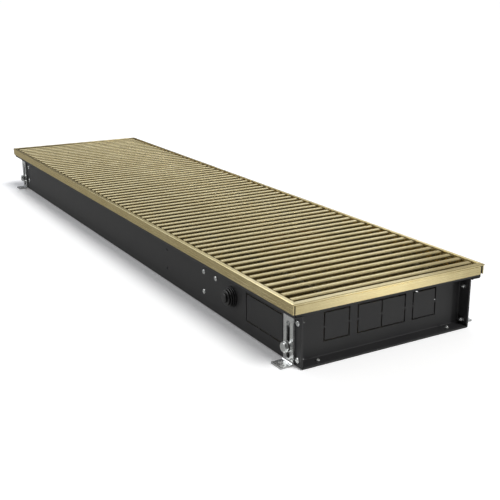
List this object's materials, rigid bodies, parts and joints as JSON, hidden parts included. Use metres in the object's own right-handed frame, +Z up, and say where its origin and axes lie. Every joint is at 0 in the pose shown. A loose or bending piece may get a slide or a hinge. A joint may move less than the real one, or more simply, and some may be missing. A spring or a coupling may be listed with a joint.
{
  "type": "trench convector heater",
  "caption": "Floor trench convector: black folded trough, gold frame, roll-up slatted grille, finned copper exchanger, knock-outs, cable grommet and slotted height-adjusting feet.",
  "frame": {"origin": "on the floor, under the middle of the frame", "axes": "+Y runs along the trench from the connection end to the far end, +X across it to the side without the grommet, +Z up"},
  "size_m": [0.2584, 0.996, 0.074],
  "materials": {
    "black_sheet": "black powder coat on folded steel sheet, satin",
    "gold_frame": "extruded aluminium, light bronze-gold anodised, satin",
    "gold_slats": "extruded aluminium, light bronze-gold anodised, satin",
    "zinc": "bright zinc plate on steel",
    "black_steel": "blackened spring steel",
    "galvanised": "hot-dip galvanised sheet with a fine spangle",
    "spring_steel": "closed-coil stainless spring wire",
    "sleeve_plastic": "moulded plastic, matt",
    "black_rubber": "moulded black rubber",
    "bush_rubber": "red silicone rubber",
    "copper": "drawn copper tube, slightly dulled",
    "fin_aluminium": "bare mill-finish aluminium foil",
    "brass": "turned brass, bare",
    "terminal_plastic": "moulded off-white plastic"
  },
  "bodies": {
    "casing": {"trough": "black_sheet", "end_panel_near": "black_sheet", "end_panel_far": "black_sheet", "air_baffle": "black_sheet", "frame_side_left": "gold_frame", "frame_side_right": "gold_frame", "frame_end_near": "gold_frame", "frame_end_far": "gold_frame", "end_panel_rivets": "zinc", "bracket_rivets": "zinc", "foot_bolts": "zinc", "foot_washers": "zinc", "wall_inserts": "zinc", "terminal_screws": "zinc", "spring_washers": "black_steel", "corner_keys": "black_steel", "exchanger_bracket_near": "galvanised", "exchanger_bracket_far": "galvanised", "terminal_bracket": "galvanised", "cable_grommet": "black_rubber", "seat_strips": "black_rubber", "tube_bushes": "bush_rubber", "exchanger_tubes": "copper", "return_bends": "copper", "exchanger_fins": "fin_aluminium", "flow_union": "brass", "return_union": "brass", "air_vent_body": "brass", "terminal_block": "terminal_plastic"},
    "foot_near_left": {"foot_near_left": "zinc"},
    "foot_near_right": {"foot_near_right": "zinc"},
    "foot_far_left": {"foot_far_left": "zinc"},
    "foot_far_right": {"foot_far_right": "zinc"},
    "vent_screw": {"air_vent_screw": "brass"},
    "grille": {"grille_slats": "gold_slats", "grille_springs": "spring_steel", "grille_sleeves": "sleeve_plastic", "spring_stops": "zinc"},
    "roll_1": {"slat_1": "gold_slats", "link_1": "spring_steel"},
    "roll_2": {"slat_2": "gold_slats", "link_2": "spring_steel"},
    "roll_3": {"slat_3": "gold_slats", "link_3": "spring_steel"},
    "roll_4": {"slat_4": "gold_slats", "link_4": "spring_steel"},
    "roll_5": {"slat_5": "gold_slats", "link_5": "spring_steel"},
    "roll_6": {"slat_6": "gold_slats", "link_6": "spring_steel"}
  },
  "joints": [
    {"name": "foot_near_left_height", "type": "slide", "parent": "casing", "child": "foot_near_left", "axis": [0, 0, -1], "range_m": [-0.005, 0.024]},
    {"name": "foot_near_right_height", "type": "slide", "parent": "casing", "child": "foot_near_right", "axis": [0, 0, -1], "range_m": [-0.005, 0.024]},
    {"name": "foot_far_left_height", "type": "slide", "parent": "casing", "child": "foot_far_left", "axis": [0, 0, -1], "range_m": [-0.005, 0.024]},
    {"name": "foot_far_right_height", "type": "slide", "parent": "casing", "child": "foot_far_right", "axis": [0, 0, -1], "range_m": [-0.005, 0.024]},
    {"name": "vent_screw_turn", "type": "hinge", "parent": "casing", "child": "vent_screw", "pos_m": [0.0455, -0.326, 0.0415], "axis": [0, -1, 0], "range_deg": [0, 360]},
    {"name": "grille_lift", "type": "slide", "parent": "casing", "child": "grille", "axis": [0, 0, 1], "range_m": [0, 0.15]},
    {"name": "slat_6_roll", "type": "hinge", "parent": "grille", "child": "roll_6", "pos_m": [0, -0.39887, 0.0664], "axis": [-1, 0, 0], "range_deg": [0, 24]},
    {"name": "slat_5_roll", "type": "hinge", "parent": "roll_6", "child": "roll_5", "pos_m": [0, -0.41489, 0.0664], "axis": [-1, 0, 0], "range_deg": [0, 24]},
    {"name": "slat_4_roll", "type": "hinge", "parent": "roll_5", "child": "roll_4", "pos_m": [0, -0.43092, 0.0664], "axis": [-1, 0, 0], "range_deg": [0, 24]},
    {"name": "slat_3_roll", "type": "hinge", "parent": "roll_4", "child": "roll_3", "pos_m": [0, -0.44695, 0.0664], "axis": [-1, 0, 0], "range_deg": [0, 24]},
    {"name": "slat_2_roll", "type": "hinge", "parent": "roll_3", "child": "roll_2", "pos_m": [0, -0.46297, 0.0664], "axis": [-1, 0, 0], "range_deg": [0, 24]},
    {"name": "slat_1_roll", "type": "hinge", "parent": "roll_2", "child": "roll_1", "pos_m": [0, -0.479, 0.0664], "axis": [-1, 0, 0], "range_deg": [0, 24]}
  ],
  "couplings": [
    {"joint": "slat_5_roll", "follows": "slat_6_roll", "ratio": 1},
    {"joint": "slat_4_roll", "follows": "slat_6_roll", "ratio": 1},
    {"joint": "slat_3_roll", "follows": "slat_6_roll", "ratio": 1},
    {"joint": "slat_2_roll", "follows": "slat_6_roll", "ratio": 1},
    {"joint": "slat_1_roll", "follows": "slat_6_roll", "ratio": 1}
  ]
}
